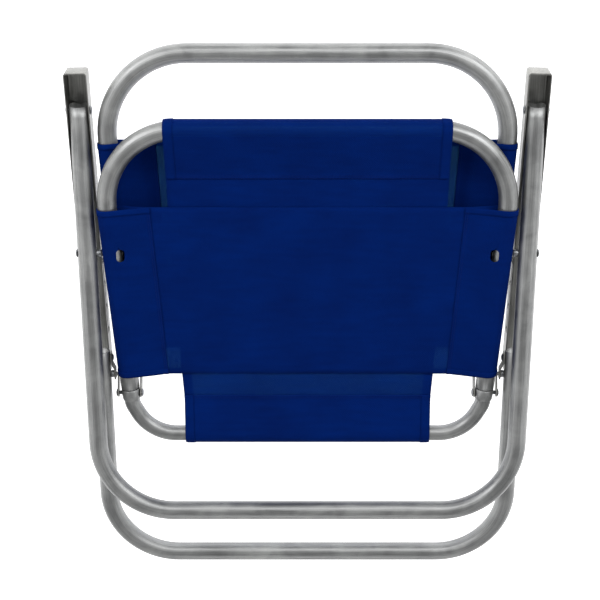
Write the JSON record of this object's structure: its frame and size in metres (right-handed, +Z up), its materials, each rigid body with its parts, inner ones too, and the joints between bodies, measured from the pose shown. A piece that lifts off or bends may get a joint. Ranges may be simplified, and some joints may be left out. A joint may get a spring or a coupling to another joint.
{
  "type": "beach chair",
  "caption": "Folding beach chair of bent aluminium tube with woven fabric slings and channel armrests, folded flat and lying on its back.",
  "frame": {"origin": "middle of the folded chair's footprint, on the plane that it lies on", "axes": "+X across the chair to the right, +Y towards the top of the backrest, +Z up, from the backrest's face to the legs"},
  "size_m": [0.5496, 0.6524, 0.0973],
  "materials": {
    "tube": "satin drawn tube",
    "fastener": "tumbled rivet",
    "fabric": "coated open weave"
  },
  "bodies": {
    "backrest": {"backrest_tube": "tube", "backrest_fabric": "fabric", "hinge_lug_inner_left": "tube", "hinge_lug_inner_right": "tube", "hinge_lug_outer_left": "tube", "hinge_lug_outer_right": "tube", "hinge_rivet_left": "fastener", "hinge_rivet_right": "fastener", "lug_rivet_left": "fastener", "lug_rivet_right": "fastener", "recline_pin_left": "fastener", "recline_pin_right": "fastener"},
    "seat": {"seat_tube": "tube", "seat_rear_bow": "tube", "seat_cross_panel": "fabric", "seat_strip": "fabric", "hinge_collar_left": "tube", "hinge_collar_right": "tube"},
    "front_leg": {"front_leg_tube": "tube", "front_leg_rivet_left": "fastener", "front_leg_rivet_right": "fastener", "front_leg_spacer_left": "fastener", "front_leg_spacer_right": "fastener", "arm_rivet_left": "fastener", "arm_rivet_right": "fastener"},
    "armrest_left": {"armrest_left": "tube"},
    "armrest_right": {"armrest_right": "tube"},
    "rear_leg": {"rear_leg_tube": "tube", "rear_leg_rivet_left": "fastener", "rear_leg_rivet_right": "fastener", "rear_leg_spacer_left": "fastener", "rear_leg_spacer_right": "fastener", "rear_leg_brace_left": "tube", "rear_leg_brace_right": "tube", "brace_rivet_left": "fastener", "brace_rivet_right": "fastener"}
  },
  "joints": [
    {"name": "seat_fold", "type": "hinge", "parent": "backrest", "child": "seat", "pos_m": [0, -0.09337, 0.038], "axis": [1, 0, 0], "range_deg": [0, 103]},
    {"name": "front_leg_fold", "type": "hinge", "parent": "seat", "child": "front_leg", "pos_m": [0, 0.08763, 0.038], "axis": [1, 0, 0], "range_deg": [-103, 0]},
    {"name": "armrest_fold_left", "type": "hinge", "parent": "front_leg", "child": "armrest_left", "pos_m": [0, 0.25113, 0.0132], "axis": [1, 0, 0], "range_deg": [0, 103]},
    {"name": "armrest_fold_right", "type": "hinge", "parent": "front_leg", "child": "armrest_right", "pos_m": [0, 0.25113, 0.0132], "axis": [1, 0, 0], "range_deg": [0, 103]},
    {"name": "rear_leg_fold", "type": "hinge", "parent": "seat", "child": "rear_leg", "pos_m": [0, -0.06887, 0.036], "axis": [1, 0, 0], "range_deg": [-74, 0]}
  ],
  "couplings": [
    {"joint": "front_leg_fold", "follows": "seat_fold", "ratio": -1},
    {"joint": "armrest_fold_left", "follows": "seat_fold", "ratio": 1},
    {"joint": "armrest_fold_right", "follows": "seat_fold", "ratio": 1},
    {"joint": "rear_leg_fold", "follows": "seat_fold", "ratio": -0.715}
  ]
}
